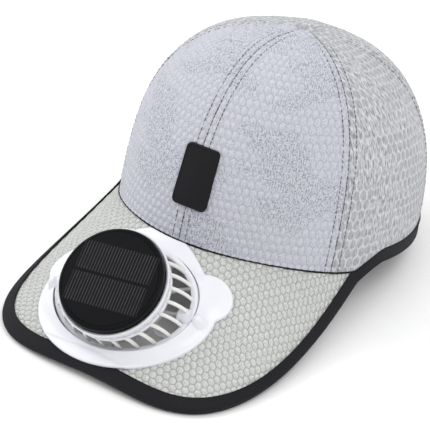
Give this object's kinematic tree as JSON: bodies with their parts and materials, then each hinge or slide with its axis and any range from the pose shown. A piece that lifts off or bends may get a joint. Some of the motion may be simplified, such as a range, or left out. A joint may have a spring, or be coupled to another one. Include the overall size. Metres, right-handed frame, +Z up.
{
  "type": "solar fan hat",
  "caption": "Panelled cloth cap with mesh sides and a curved peak that carries a tilting round fan under a small solar panel.",
  "frame": {"origin": "centre of the bounding box on the surface that the cap rests on", "axes": "+Z up off the surface, -Y towards the front of the peak, +X towards the wearer's left"},
  "size_m": [0.1788, 0.2742, 0.1402],
  "materials": {
    "lined_knit": "lilac grey lined knit, matte",
    "open_mesh": "grey see-through honeycomb mesh",
    "brim_knit": "pale grey pillowy honeycomb knit",
    "binding": "charcoal woven tape",
    "seam_tape": "grey flat tape",
    "label_rubber": "black soft rubber, satin",
    "white_plastic": "white moulded plastic, satin gloss",
    "solar_cell": "black glossy panel with fine grey lines",
    "motor_metal": "bright steel can"
  },
  "bodies": {
    "cap": {"front_panel_left": "lined_knit", "front_panel_right": "lined_knit", "side_panel_left": "open_mesh", "side_panel_right": "open_mesh", "back_panel_left": "open_mesh", "back_panel_right": "open_mesh", "seam_tape_1": "seam_tape", "seam_tape_2": "seam_tape", "seam_tape_3": "seam_tape", "seam_tape_4": "seam_tape", "seam_tape_5": "seam_tape", "seam_tape_6": "seam_tape", "top_button": "open_mesh", "label_patch": "label_rubber", "brim": "brim_knit", "brim_binding": "binding", "hem_binding": "binding", "fan_flange": "white_plastic", "clamp_ring": "white_plastic"},
    "fan_head": {"fan_cage": "white_plastic", "fan_housing": "white_plastic", "solar_panel": "solar_cell", "motor": "motor_metal", "fan_guard": "white_plastic"},
    "rotor": {"impeller": "white_plastic"}
  },
  "joints": [
    {"name": "fan_tilt", "type": "hinge", "parent": "cap", "child": "fan_head", "pos_m": [-0.00528, -0.09534, 0.02872], "axis": [0.989, 0.132, 0.0665], "range_deg": [-9, 15]},
    {"name": "impeller_spin", "type": "hinge", "parent": "fan_head", "child": "rotor", "pos_m": [-0.00558, -0.09373, 0.02988], "axis": [0.0231, -0.5823, 0.8126], "continuous": true}
  ]
}
